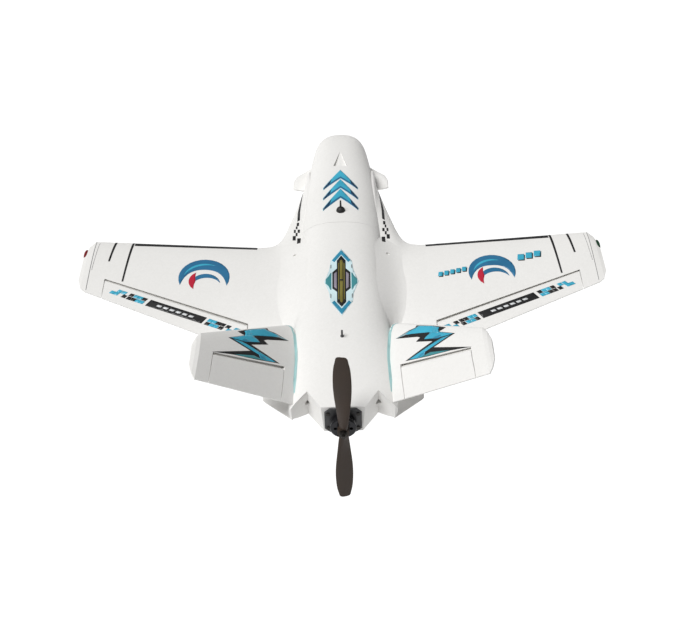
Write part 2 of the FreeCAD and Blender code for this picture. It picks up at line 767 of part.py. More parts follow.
blade = loft([blade_section(*s) for s in BLADE])
other = blade.copy()
other.rotate(V(0, 0, 0), V(0, 0, 1), 180)
prop_hub = cyl(8.5, V(0, 0, -4.6), V(0, 0, 4.6))
propeller = fused([prop_hub, blade, other])
propeller = propeller.cut(cyl(8.5, V(0, 0, 4.6), V(0, 0, 12)))
propeller = propeller.cut(cyl(12.0, V(0, 0, -12), V(0, 0, -4.6)))
propeller = solid_of(propeller.cut(cyl(SHAFT_R, V(0, 0, -10), V(0, 0, 10))))
nut_outline = around(6, 4.9, 30.0)
prop_nut = plate(nut_outline, 5.6, 10.2).fuse(cyl(6.0, V(0, 0, 4.6), V(0, 0, 5.6)))
prop_nut = solid_of(prop_nut.cut(cyl(SHAFT_R, V(0, 0, 0), V(0, 0, 20))))

# ---------------------------------------------------------------- inside the fuselage

spar_joiner = box(-46, 46, SPAR_Y - 8, SPAR_Y + 8, 44, 74)
for side in (1, -1):
    piece = moved(spar_space, WING)
    if side < 0:
        piece = mirrored(piece)
    spar_joiner = spar_joiner.cut(piece)
    fuselage = fuselage.cut(piece)
joiner_leg = box(-8, 8, SPAR_Y - 8, SPAR_Y + 8, TRAY_Z + TRAY_T, 44)
spar_joiner = solid_of(spar_joiner.fuse(joiner_leg))

battery = box(-18, 18, 100, 182, TRAY_Z + TRAY_T, 46)
battery = battery.makeFillet(3.0, [e for e in battery.Edges if e.BoundBox.YLength > 70])
strap = box(-19.4, 19.4, 131, 149, TRAY_Z + TRAY_T, 47.2).cut(box(-18, 18, 130, 150, 5, 46))
esc = box(-13, 13, 5, 65, TRAY_Z + TRAY_T, TRAY_Z + TRAY_T + 11)
receiver = box(-14, 14, -105, -65, TRAY_Z + TRAY_T, TRAY_Z + TRAY_T + 14)

magnet_r = 4.0
hatch_magnets = []
for x in (-59.0, 59.0):
    seat = V(x, HATCH_REAR + 12, HATCH_SPLIT_Z - 4)
    hatch_magnets.append(cyl(magnet_r, seat, seat + V(0, 0, 4)))
for piece in hatch_magnets:
    fuselage = fuselage.cut(piece)

ANTENNA_Y = 55.0
ANTENNA_Z = 113.0
grommet = Part.makeSphere(7.6, V(0, ANTENNA_Y, ANTENNA_Z - 0.5))
grommet = grommet.common(box(-9, 9, ANTENNA_Y - 9, ANTENNA_Y + 9, ANTENNA_Z - 3.0, ANTENNA_Z + 10))
mast = cone_between(V(0, ANTENNA_Y, ANTENNA_Z - 3), 2.2, V(0, ANTENNA_Y + 1.5, ANTENNA_Z + 19.5), 1.3)
front_antenna = fused([grommet, mast])
hatch = solid_of(hatch.cut(front_antenna))
rear_antenna = fused([
    cyl(2.6, V(0, -230, 98), V(0, -230, 105.2)),
    cyl(1.5, V(0, -230, 98), V(0, -230, 116)),
])
fuselage = fuselage.cut(rear_antenna)
fuselage = fuselage.cut(moved(Part.makeCompound(plate_screws + motor_screws + [shaft]), MOTOR))
fuselage = solid_of(fuselage)

# ---------------------------------------------------------------- write the pieces

single = {
    "fuselage": fuselage,
    "canopy_hatch": hatch,
    "belly_skid": skid,
    "equipment_tray": tray,
    "battery": battery,
    "battery_strap": strap,
    "speed_controller": esc,
    "receiver": receiver,
    "spar_joiner": spar_joiner,
    "front_antenna": front_antenna,
    "rear_antenna": rear_antenna,
    "hatch_magnets": Part.makeCompound(hatch_magnets),
    "wing_screws": Part.makeCompound([wing_screw, mirrored(wing_screw)]),
    "motor_plate": moved(motor_plate_flat, MOTOR),
    "motor_base": moved(motor_base, MOTOR),
    "motor_bell": moved(bell, MOTOR),
    "motor_shaft": moved(shaft, MOTOR),
    "propeller": moved(propeller, MOTOR),
    "prop_nut": moved(prop_nut, MOTOR),
    "motor_screws": moved(Part.makeCompound(motor_screws), MOTOR),
    "plate_screws": moved(Part.makeCompound(plate_screws), MOTOR),
}
paired = {
    "wing": moved(wing_flat, WING).cut(moved(fin_panel, FIN)),
    "wingtip": moved(tip_flat, WING),
    "navigation_light": moved(light_flat, WING),
    "elevon": elevon,
    "elevon_hinge": moved(elevon_wire, WING),
    "elevon_servo": moved(wing_set["servo"], WING),
    "elevon_arm": moved(wing_set["arm"], WING),
    "elevon_pushrod": moved(wing_set["rod"], WING),
    "elevon_horn": moved(wing_set["horn"], WING),
    "wing_spar": moved(spar_flat, WING),
    "tail_fin": moved(fin_set["fixed"], FIN),
    "ruddervator": ruddervator,
    "ruddervator_hinge": moved(rudder_wire, FIN),
    "ruddervator_servo": moved(fin_set["servo"], FIN),
    "ruddervator_arm": moved(fin_set["arm"], FIN),
    "ruddervator_pushrod": moved(fin_set["rod"], FIN),
    "ruddervator_horn": moved(fin_set["horn"], FIN),
    "ventral_fin": ventral,
    "nose_fin": nose_fin_flat,
}
on_fuselage = ("wing", "tail_fin", "ventral_fin", "nose_fin")
for name, shape in single.items():
    shape.exportStep("parts/" + name + ".step")
for name, shape in paired.items():
    for side, piece in (("_starboard", shape), ("_port", mirrored(shape))):
        if name in on_fuselage:
            piece = solid_of(piece.cut(blank))
        piece.exportStep("parts/" + name + side + ".step")
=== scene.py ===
import math
import bmesh
import bpy
from mathutils import Matrix, Vector
from mathutils.bvhtree import BVHTree
from mathutils.geometry import tessellate_polygon


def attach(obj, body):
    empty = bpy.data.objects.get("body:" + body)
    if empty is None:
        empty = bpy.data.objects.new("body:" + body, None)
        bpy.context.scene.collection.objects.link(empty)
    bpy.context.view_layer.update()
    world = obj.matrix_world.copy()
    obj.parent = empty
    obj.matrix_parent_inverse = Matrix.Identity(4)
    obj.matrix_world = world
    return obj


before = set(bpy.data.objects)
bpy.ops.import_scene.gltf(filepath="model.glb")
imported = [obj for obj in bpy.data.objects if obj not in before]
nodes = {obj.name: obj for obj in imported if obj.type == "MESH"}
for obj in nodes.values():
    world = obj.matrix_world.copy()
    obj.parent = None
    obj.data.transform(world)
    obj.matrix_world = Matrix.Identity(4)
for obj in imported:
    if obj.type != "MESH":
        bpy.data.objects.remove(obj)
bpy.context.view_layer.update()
MM = 0.001

# ---------------------------------------------------------------- dimensions shared with the CAD, in mm

FIN_X = 73.0
FIN_Z = 78.0
FIN_TILT = 37.6

# ---------------------------------------------------------------- film and view heights, in mm

FILM = 0.08  # thickness of the vinyl
LIFT = 0.14  # height of the shoulder stripe over the foam
FIRST = 0.12  # first layer of film on the wings and fins
SECOND = 0.24
THIRD = 0.36
UNDER = 0.10  # first layer of film on the body, the hatch and the dashes
MIDDLE = 0.22
UPPER = 0.34
TOPMOST = 0.46
CELL = 4.0  # longest piece of film between two bends
ABOVE_ALL = 400.0  # height from which drawings are dropped onto the airframe
ABOVE_FIN = 60.0  # distance from which drawings are dropped onto a tail fin


# ---------------------------------------------------------------- materials

def new_material(name):
    mat = bpy.data.materials.new(name)
    mat.use_nodes = True
    tree = mat.node_tree
    shader = tree.nodes["Principled BSDF"]
    return mat, tree, shader


def node(tree, kind, **values):
    item = tree.nodes.new(kind)
    for key, value in values.items():
        if key in item.inputs:
            item.inputs[key].default_value = value
        else:
            setattr(item, key, value)
    return item


def object_coords(tree):
    return node(tree, "ShaderNodeTexCoord").outputs["Object"]


def ramp(tree, source, stops):
    item = node(tree, "ShaderNodeValToRGB")
    band = item.color_ramp
    band.elements[0].position = stops[0][0]
    band.elements[0].color = stops[0][1]
    band.elements[1].position = stops[-1][0]
    band.elements[1].color = stops[-1][1]
    for place, colour in stops[1:-1]:
        band.elements.new(place).color = colour
    tree.links.new(source, item.inputs["Fac"])
    return item.outputs["Color"]


def foam_material(name, colour):
    """White moulded bead foam: flattened beads, fine skin and a very slight tone change."""
    mat, tree, shader = new_material(name)
    coords = object_coords(tree)
    beads = node(tree, "ShaderNodeTexVoronoi", feature="DISTANCE_TO_EDGE", Scale=330.0)
    cells = node(tree, "ShaderNodeTexVoronoi", feature="F1", Scale=330.0)
    skin = node(tree, "ShaderNodeTexNoise", Scale=1400.0, Detail=3.0)
    drift = node(tree, "ShaderNodeTexNoise", Scale=9.0, Detail=2.0)
    for item in (beads, cells, skin, drift):
        tree.links.new(coords, item.inputs["Vector"])
    seam = ramp(tree, beads.outputs["Distance"], [(0.0, (0.0, 0.0, 0.0, 1)), (0.10, (1, 1, 1, 1))])
    tone = node(tree, "ShaderNodeMix", data_type="RGBA", blend_type="MULTIPLY")
    tone.inputs["Factor"].default_value = 1.0
    tone.inputs["A"].default_value = colour
    shade = ramp(tree, cells.outputs["Color"], [(0.0, (0.965, 0.965, 0.962, 1)), (1.0, (1, 1, 1, 1))])
    tree.links.new(shade, tone.inputs["B"])
    wide = node(tree, "ShaderNodeMix", data_type="RGBA", blend_type="MULTIPLY")
    wide.inputs["Factor"].default_value = 1.0
    patch = ramp(tree, drift.outputs["Fac"], [(0.3, (0.975, 0.975, 0.972, 1)), (0.7, (1, 1, 1, 1))])
    tree.links.new(tone.outputs["Result"], wide.inputs["A"])
    tree.links.new(patch, wide.inputs["B"])
    tree.links.new(wide.outputs["Result"], shader.inputs["Base Color"])
    low = node(tree, "ShaderNodeBump", Strength=0.25, Distance=0.00012)
    tree.links.new(seam, low.inputs["Height"])
    fine = node(tree, "ShaderNodeBump", Strength=0.12, Distance=0.00006)
    tree.links.new(skin.outputs["Fac"], fine.inputs["Height"])
    tree.links.new(low.outputs["Normal"], fine.inputs["Normal"])
    tree.links.new(fine.outputs["Normal"], shader.inputs["Normal"])
    shader.inputs["Roughness"].default_value = 0.62
    shader.inputs["Specular IOR Level"].default_value = 0.35
    return mat


def solid_material(name, colour, rough, metal=0.0, grain=900.0, bump=0.1, depth=0.00004, coat=0.0, shine=0.5):
    """Plastic, metal or rubber with a fine grain in its tone, gloss and surface."""
    mat, tree, shader = new_material(name)
    coords = object_coords(tree)
    grains = node(tree, "ShaderNodeTexNoise", Scale=grain, Detail=4.0)
    smudge = node(tree, "ShaderNodeTexNoise", Scale=28.0, Detail=3.0)
    tree.links.new(coords, grains.inputs["Vector"])
    tree.links.new(coords, smudge.inputs["Vector"])
    dark = tuple(c * 0.86 for c in colour[:3]) + (1,)
    light = tuple(min(1.0, c * 1.08) for c in colour[:3]) + (1,)
    tone = ramp(tree, smudge.outputs["Fac"], [(0.3, dark), (0.7, light)])
    tree.links.new(tone, shader.inputs["Base Color"])
    low = max(0.03, rough - 0.06)
    high = min(1.0, rough + 0.08)
    gloss = ramp(tree, smudge.outputs["Fac"], [(0.3, (low, low, low, 1)), (0.7, (high, high, high, 1))])
    tree.links.new(gloss, shader.inputs["Roughness"])
    lift = node(tree, "ShaderNodeBump", Strength=bump, Distance=depth)
    tree.links.new(grains.outputs["Fac"], lift.inputs["Height"])
    tree.links.new(lift.outputs["Normal"], shader.inputs["Normal"])
    shader.inputs["Metallic"].default_value = metal
    shader.inputs["Coat Weight"].default_value = coat
    shader.inputs["Specular IOR Level"].default_value = shine
    return mat


# ---------------------------------------------------------------- shapes laid on the surface

def surface_of(*names):
    """Search tree over the CAD surfaces of some nodes."""
    corners = []
    faces = []
    for name in names:
        mesh = nodes[name].data
        first = len(corners)
        corners += [v.co.copy() for v in mesh.vertices]
        faces += [[first + i for i in p.vertices] for p in mesh.polygons]
    return BVHTree.FromPolygons(corners, faces)


def from_above(u, v):
    """A flat drawing in X and Y seen from straight above, in mm."""
    return Vector((u, v, ABOVE_ALL)) * MM, Vector((0, 0, -1))


def fin_drawing(side):
    """A flat drawing on the tail fin: span outward from the root and Y, in mm."""
    tilt = math.radians(FIN_TILT)
    along = Vector((math.cos(tilt) * side, 0, math.sin(tilt)))
    normal = Vector((-math.sin(tilt) * side, 0, math.cos(tilt)))
    root = Vector((FIN_X * side, 0, FIN_Z))

    def place(u, v):
        point = root + along * u + Vector((0, v, 0)) + normal * ABOVE_FIN
        return point * MM, -normal

    return place


def laid(name, outlines, surface, place, material, body, lift, cell=CELL):
    """Thin vinyl cut to flat outlines and laid on a surface along the drawing's direction."""
    bm = bmesh.new()
    for outline in outlines:
        ring = [Vector((u, v, 0)) for u, v in outline]
        corners = [bm.verts.new(point) for point in ring]
        for a, b, c in tessellate_polygon([ring]):
            bm.faces.new((corners[a], corners[b], corners[c]))
    for axis in (0, 1):
        values = [v.co[axis] for v in bm.verts]
        low = min(values)
        high = max(values)
        step = low + cell
        while step < high:
            point = Vector((0, 0, 0))
            point[axis] = step
            normal = Vector((0, 0, 0))
            normal[axis] = 1.0
            everything = bm.verts[:] + bm.edges[:] + bm.faces[:]
            bmesh.ops.bisect_plane(bm, geom=everything, plane_co=point, plane_no=normal)
            step += cell
    bmesh.ops.remove_doubles(bm, verts=bm.verts[:], dist=0.001)
    missed = []
    for v in bm.verts:
        start, way = place(v.co.x, v.co.y)
        hit, normal = surface.ray_cast(start, way)[:2]
        if hit is None:
            missed.append(v)
        else:
            if normal.dot(way) > 0:
                normal = -normal
            v.co = hit + normal * lift * MM
    bmesh.ops.delete(bm, geom=missed, context="VERTS")
    bmesh.ops.recalc_face_normals(bm, faces=bm.faces[:])
    start, way = place(0.0, 0.0)
    if bm.faces and sum(f.normal.dot(way) for f in bm.faces) > 0:
        bmesh.ops.reverse_faces(bm, faces=bm.faces[:])
    mesh = bpy.data.meshes.new(name)
    bm.to_mesh(mesh)
    bm.free()
    for face in mesh.polygons:
        face.use_smooth = True
    obj = bpy.data.objects.new(name, mesh)
    bpy.context.scene.collection.objects.link(obj)
    mesh.materials.append(material)
    skin = obj.modifiers.new("film", "SOLIDIFY")
    skin.thickness = FILM * MM
    skin.offset = 1.0
    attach(obj, body)
    return obj


def turned(points, angle, cx, cy):
    """Outline turned and moved on its flat drawing."""
    c = math.cos(math.radians(angle))
    s = math.sin(math.radians(angle))
    return [(cx + x * c - y * s, cy + x * s + y * c) for x, y in points]


def flipped(points):
    """Outline mirrored across the centreline."""
    return [(-x, y) for x, y in points]


def bar(x0, y0, x1, y1, w0, w1=None):
    """Straight bar between two points on the flat drawing."""
    w1 = w0 if w1 is None else w1
    dx = x1 - x0
    dy = y1 - y0
    length = math.hypot(dx, dy)
    nx = -dy / length
    ny = dx / length
    return [
        (x0 + nx * w0 / 2, y0 + ny * w0 / 2), (x0 - nx * w0 / 2, y0 - ny * w0 / 2),
        (x1 - nx * w1 / 2, y1 - ny * w1 / 2), (x1 + nx * w1 / 2, y1 + ny * w1 / 2),
    ]


# ---------------------------------------------------------------- finishes of the CAD pieces

FOAM = foam_material("foam", (0.86, 0.85, 0.83, 1))
PROP = solid_material(
    "prop_nylon", (0.043, 0.029, 0.021, 1), 0.5, grain=1600, bump=0.25, depth=0.00008, shine=0.2,
)
BLACK = solid_material("black_plastic", (0.018, 0.018, 0.020, 1), 0.45, grain=1400, bump=0.2)
PLATE = solid_material("plate_plastic", (0.045, 0.045, 0.047, 1), 0.5, grain=1200, bump=0.3, depth=0.00006)
BELL = solid_material("bell_anodised", (0.022, 0.022, 0.025, 1), 0.32, metal=0.7, grain=2400, bump=0.12)
STEEL = solid_material("steel", (0.55, 0.55, 0.56, 1), 0.28, metal=1.0, grain=2200, bump=0.08)
CARBON = solid_material("carbon_tube", (0.02, 0.02, 0.022, 1), 0.3, grain=1500, bump=0.3, coat=0.4)
SERVO = solid_material("servo_case", (0.03, 0.05, 0.11, 1), 0.3, grain=900, bump=0.08, coat=0.2)
NYLON = solid_material("white_nylon", (0.80, 0.80, 0.77, 1), 0.42, grain=900, bump=0.1)
SKID = solid_material("skid_sheet", (0.62, 0.62, 0.61, 1), 0.38, grain=500, bump=0.15)
RED = solid_material("red_lens", (0.20, 0.010, 0.012, 1), 0.18, grain=900, bump=0.03, coat=0.8)
GREEN = solid_material("green_lens", (0.006, 0.042, 0.018, 1), 0.18, grain=900, bump=0.03, coat=0.8)
WRAP = solid_material("battery_wrap", (0.03, 0.09, 0.30, 1), 0.3, grain=300, bump=0.3, depth=0.0001, coat=0.3)
STRAP = solid_material("strap_webbing", (0.02, 0.02, 0.02, 1), 0.85, grain=1800, bump=0.8, depth=0.0002)
SLEEVE = solid_material("shrink_sleeve", (0.03, 0.03, 0.03, 1), 0.4, grain=500, bump=0.3, depth=0.0001)
PLY = solid_material("plywood", (0.50, 0.34, 0.19, 1), 0.65, grain=260, bump=0.3, depth=0.0001)
RUBBER = solid_material("antenna_rubber", (0.014, 0.014, 0.015, 1), 0.6, grain=1500, bump=0.3)
BLACKENED = solid_material(
    "blackened_steel", (0.030, 0.027, 0.024, 1), 0.42, metal=0.6, grain=2200, bump=0.08,
)
GREY_TUBE = solid_material("antenna_sleeve", (0.090, 0.090, 0.092, 1), 0.55, grain=1500, bump=0.3)
MAGNET = solid_material("magnet_plating", (0.65, 0.65, 0.66, 1), 0.2, metal=1.0, grain=900, bump=0.05)


def finish_for(name):
    """Finish of one CAD node from its name."""
    base = name.replace("_port", "").replace("_starboard", "")
    table = {
        "propeller": PROP, "prop_nut": BLACKENED, "motor_shaft": BLACKENED,
        "motor_bell": BELL, "motor_base": BELL, "motor_plate": PLATE,
        "motor_screws": BLACKENED, "plate_screws": BLACKENED, "wing_screws": NYLON,
        "spar_joiner": BLACK, "wing_spar": CARBON, "battery": WRAP, "battery_strap": STRAP,
        "speed_controller": SLEEVE, "receiver": SLEEVE, "equipment_tray": PLY, "belly_skid": SKID,
        "front_antenna": RUBBER, "rear_antenna": GREY_TUBE, "hatch_magnets": MAGNET,
    }
    if name == "navigation_light_port":
        return RED
    if name == "navigation_light_starboard":
        return GREEN
    linkage = {"_servo": SERVO, "_arm": NYLON, "_horn": NYLON, "_pushrod": STEEL, "_hinge": STEEL}
    for key, material in linkage.items():
        if base.endswith(key):
            return material
    return table.get(base, FOAM)


for name, obj in nodes.items():
    obj.data.materials.clear()
    obj.data.materials.append(finish_for(name))


# ---------------------------------------------------------------- vinyl trim

def vinyl(name, colour, rough=0.34):
    """Thin printed vinyl film."""
    return solid_material(name, colour, rough, grain=700, bump=0.06, depth=0.00003, coat=0.15)


INK = vinyl("vinyl_black", (0.014, 0.014, 0.015, 1), 0.42)
CYAN = vinyl("vinyl_cyan", (0.055, 0.430, 0.610, 1))
PALE = vinyl("vinyl_pale_cyan", (0.300, 0.640, 0.780, 1))
MIST = vinyl("vinyl_mist", (0.660, 0.840, 0.880, 1))
TEAL = vinyl("vinyl_teal", (0.060, 0.270, 0.300, 1))
BLUE = vinyl("vinyl_blue", (0.030, 0.170, 0.330, 1))
SEA = vinyl("vinyl_sea", (0.034, 0.270, 0.430, 1))
NAVY = vinyl("vinyl_navy", (0.012, 0.050, 0.110, 1))
FADED = vinyl("vinyl_faded", (0.340, 0.480, 0.520, 1))
SAGE = vinyl("vinyl_sage", (0.360, 0.590, 0.590, 1))
WHITE = vinyl("vinyl_white", (0.720, 0.740, 0.750, 1))
GOLD = vinyl("vinyl_gold", (0.230, 0.200, 0.045, 1))
MAUVE = vinyl("vinyl_mauve", (0.300, 0.270, 0.330, 1))
SCARLET = vinyl("vinyl_scarlet", (0.560, 0.020, 0.050, 1))
# Grey film: printed dashes on the badge, and painted seam shade at the wing tips.
LINE = vinyl("vinyl_grey_line", (0.220, 0.220, 0.225, 1))


def mirror_both(points):
    """Outline with its mirror image, as one list of two."""
    return [points, flipped(points)]


def on_side(side, outlines):
    """Outlines drawn for the port side, put on either side."""
    return outlines if side < 0 else [flipped(o) for o in outlines]


def centred(points):
    """Closed outline from its starboard half, top to bottom."""
    return points + [(-x, y) for x, y in reversed(points) if x > 0]


def crescent(cx, cy, radius, start, end, thick, steps=18):
    """Pointed crescent between two angles in degrees."""
    outer = []
    inner = []
    for i in range(steps + 1):
        t = i / steps
        turn = math.radians(start + (end - start) * t)
        swell = thick * math.sin(math.pi * t) ** 0.8
        outer.append((cx + radius * math.cos(turn), cy + radius * math.sin(turn)))
        inner.append((cx + (radius - swell) * math.cos(turn), cy + (radius - swell) * math.sin(turn)))
    return outer + inner[-2:0:-1]


def slanted(x, y, width, height, lean):
    """Leaning block with its lower left corner at a point."""
    return [(x, y), (x + width, y), (x + width + lean, y + height), (x + lean, y + height)]


# Nose chevrons: Y of the apex, of the notch behind it and of the outer end.
CHEVRONS = [(174.0, 148.5, 123.0), (145.0, 119.5, 93.0), (116.5, 90.5, 63.5)]
top_skin = surface_of("canopy_hatch")
for i, (apex, low, end) in enumerate(CHEVRONS):
    edge = [(0, apex + 1.0), (30.5, end + 0.5), (30.0, end - 6.3), (0, low - 1.0)]
    arrow = [(0, apex), (29.5, end), (29.0, end - 5.3), (0, low)]
    tip = [
        (15.5, apex - (apex - end) * 0.55), (29.5, end), (29.0, end - 5.3), (19.0, low - (low - end) * 0.70),
    ]
    ridge = [(0, low + 5.0), (20.0, low - (low - end) * 0.62), (29.0, end - 5.3), (0, low)]
    laid("chevron_edge_%d" % i, [centred(edge)], top_skin, from_above, PALE, "hatch", UNDER)
    laid("chevron_%d" % i, [centred(arrow)], top_skin, from_above, CYAN, "hatch", MIDDLE)
    laid("chevron_shade_%d" % i, [centred(ridge)], top_skin, from_above, BLUE, "hatch", UPPER)
    laid("chevron_tips_%d" % i, mirror_both(tip), top_skin, from_above, NAVY, "hatch", TOPMOST)

# Badge on the centre of the back.
back = surface_of("fuselage")

# Name: finish, height over the foam in mm, outlines.
badge = {
    "badge_mist": (MIST, UNDER, [centred([
        (0, -43.5), (17.0, -72.0), (19.0, -92.0), (27.0, -117.5), (19.0, -143.0), (17.0, -162.0), (0, -190.5),
    ])]),
    "badge_chevrons": (SEA, MIDDLE, [
        centred([(0, -46.5), (14.8, -70.5), (11.0, -75.0), (5.5, -66.0), (0, -57.5)]),
        centred([(0, -176.0), (5.5, -168.0), (11.0, -159.0), (14.8, -163.5), (0, -188.0)]),
    ]),
    "badge_knobs": (TEAL, MIDDLE, mirror_both([
        (17.2, -99.0), (20.0, -106.0), (24.5, -112.0), (24.8, -121.5), (20.0, -128.0), (17.2, -136.0),
        (15.6, -136.0), (15.6, -99.0),
    ])),
    "badge_dashes": (LINE, MIDDLE, mirror_both([(15.6, -79.5), (17.2, -81.5), (17.2, -89.5), (15.6, -88.0)])
                     + mirror_both([(15.6, -146.0), (17.2, -144.0), (17.2, -153.0), (15.6, -154.5)])),
    "badge_frame": (INK, MIDDLE, [centred([
        (0, -59.5), (7.0, -71.5), (7.0, -89.5), (14.2, -98.0), (14.2, -133.5), (7.0, -141.5),
        (7.0, -162.5), (0, -172.5),
    ])]),
    "badge_panels": (MAUVE, UPPER, mirror_both([
        (7.4, -97.0), (11.6, -101.5), (11.6, -130.5), (7.4, -135.0),
    ])),
    "badge_gold": (GOLD, UPPER, [
        centred([(0, -69.0), (2.3, -72.5), (2.3, -114.0)]),
        centred([(2.3, -117.0), (2.3, -161.0), (0, -164.5)]),
    ] + mirror_both([(3.6, -76.0), (5.0, -78.0), (5.0, -156.0), (3.6, -158.0)])),
}
for name, (material, lift, outlines) in badge.items():
    laid(name, outlines, back, from_above, material, "airframe", lift)

# Pieces drawn for the port side and laid on both. The band's middle and turn:
BAND_X = -259.6
BAND_Y = -146.6
BAND_TURN = -21.0
# Zigzag bolt on the tail fin: span outward from the fin's root, and Y.
BOLT = [
    (99.5, -252.0), (79.0, -236.0), (50.5, -218.0), (48.5, -222.5), (38.0, -222.5), (14.5, -226.5),
    (51.5, -244.5), (56.5, -248.5), (49.0, -253.0), (76.5, -268.0), (27.5, -278.5), (65.5, -291.0),
    (103.5, -301.5), (137.0, -314.0), (77.5, -280.5), (114.0, -274.0), (88.5, -255.5), (96.5, -253.5),
]
BOLT_BRIGHT = [
    [(88.5, -245.5), (79.5, -237.5), (54.5, -221.5), (49.5, -224.0), (36.5, -225.0), (24.5, -226.5),
     (43.0, -233.0), (73.0, -247.5), (80.0, -249.5), (86.0, -252.0)],
    [(110.5, -272.5), (88.0, -256.0), (76.5, -248.5), (66.5, -253.0), (63.0, -256.0), (85.5, -267.5),
     (94.0, -269.0)],
    [(106.0, -273.0), (92.0, -270.5), (79.0, -272.0), (34.5, -279.5), (50.5, -285.5), (60.5, -285.5),
     (63.0, -280.5), (75.0, -278.5)],
]
BOLT_JOINT = [(87.0, -250.0), (76.5, -244.5), (72.0, -249.0), (76.0, -256.0), (88.0, -256.5)]
BOLT_DEEP = [(103.0, -300.5), (71.0, -286.0), (62.5, -286.0), (50.5, -285.5), (65.5, -290.0), (88.5, -297.0)]
BOLT_SHADE = [
    [(89.0, -262.5), (76.0, -262.0), (66.0, -257.5), (84.0, -267.0), (93.0, -268.5)],
    [(60.5, -284.5), (63.5, -279.5), (54.0, -280.5), (48.0, -284.0)],
]
BOLT_FADE = [(40.0, -224.2), (14.5, -226.5), (37.0, -230.0), (31.0, -227.0)]
# Checks behind the shoulder stripe: rear corner, width and depth.
CHECKS = [
    (-75.2, 47.0, 4.0, 10.0), (-76.5, 39.5, 2.8, 8.0), (-79.6, 30.7, 3.2, 9.0), (-73.1, 29.0, 3.8, 9.0),
    (-76.4, 21.5, 3.2, 9.0), (-81.2, 11.4, 5.2, 12.0), (-73.4, -1.0, 6.0, 17.0),
]
# Middle of the pale line round the tail fin's root.
ROOT_LINE = [
    (-86.0, -191.0), (-80.5, -190.0), (-75.5, -194.5), (-72.0, -208.0), (-70.3, -225.0), (-68.6, -243.0),
    (-68.0, -260.0), (-68.6, -279.0), (-69.3, -298.0), (-69.6, -319.0),
]


def ribbon(points, width):
    """Band of even width along a run of points, narrowing to its ends."""
    left = []
    right = []
    last = len(points) - 1
    for i, (x, y) in enumerate(points):
        before = points[max(0, i - 1)]
        after = points[min(last, i + 1)]
        length = math.hypot(after[0] - before[0], after[1] - before[1])
        nx = -(after[1] - before[1]) / length
        ny = (after[0] - before[0]) / length
        half = width / 2 * (0.35 if i in (0, last) else 1.0)
        left.append((x + nx * half, y + ny * half))
        right.append((x - nx * half, y - ny * half))
    return left + right[::-1]


BAND_HALF = 6.8  # half the depth of the band
CHECK_SIZE = (7.2, 6.2, 2.3)  # width, height and lean
# Checks at one end of the band: lower corner, and 1 for cyan or 0 for black.
BAND_CHECKS = [
    (53, 0, 1), (51, -BAND_HALF, 0), (60, 0, 1), (58.5, -BAND_HALF, 1), (67.5, 0, 0), (66, -BAND_HALF, 1),
    (75, 0, 0), (74, -BAND_HALF, 0), (84, -0.5, 0), (87, -BAND_HALF, 1), (95, -BAND_HALF, 1), (98, -1, 1),
    (105, -1, 1),
]


def band_blocks():
    """Black bar with a run of checks at each end, in the band's own frame."""
    black = [[(-50, -BAND_HALF), (47, -BAND_HALF), (51, BAND_HALF), (-46, BAND_HALF)]]
    cyan = []
    for sign in (1, -1):
        for x, y, is_cyan in BAND_CHECKS:
            block = [(sign * a, sign * b) for a, b in slanted(x, y, *CHECK_SIZE)]
            if is_cyan:
                cyan.append(block)
            else:
                black.append(block)
    white = [slanted(-33 + i * 11.0, -1.9, 7.5, 3.8, 1.8) for i in range(6)]
    return black, cyan, white


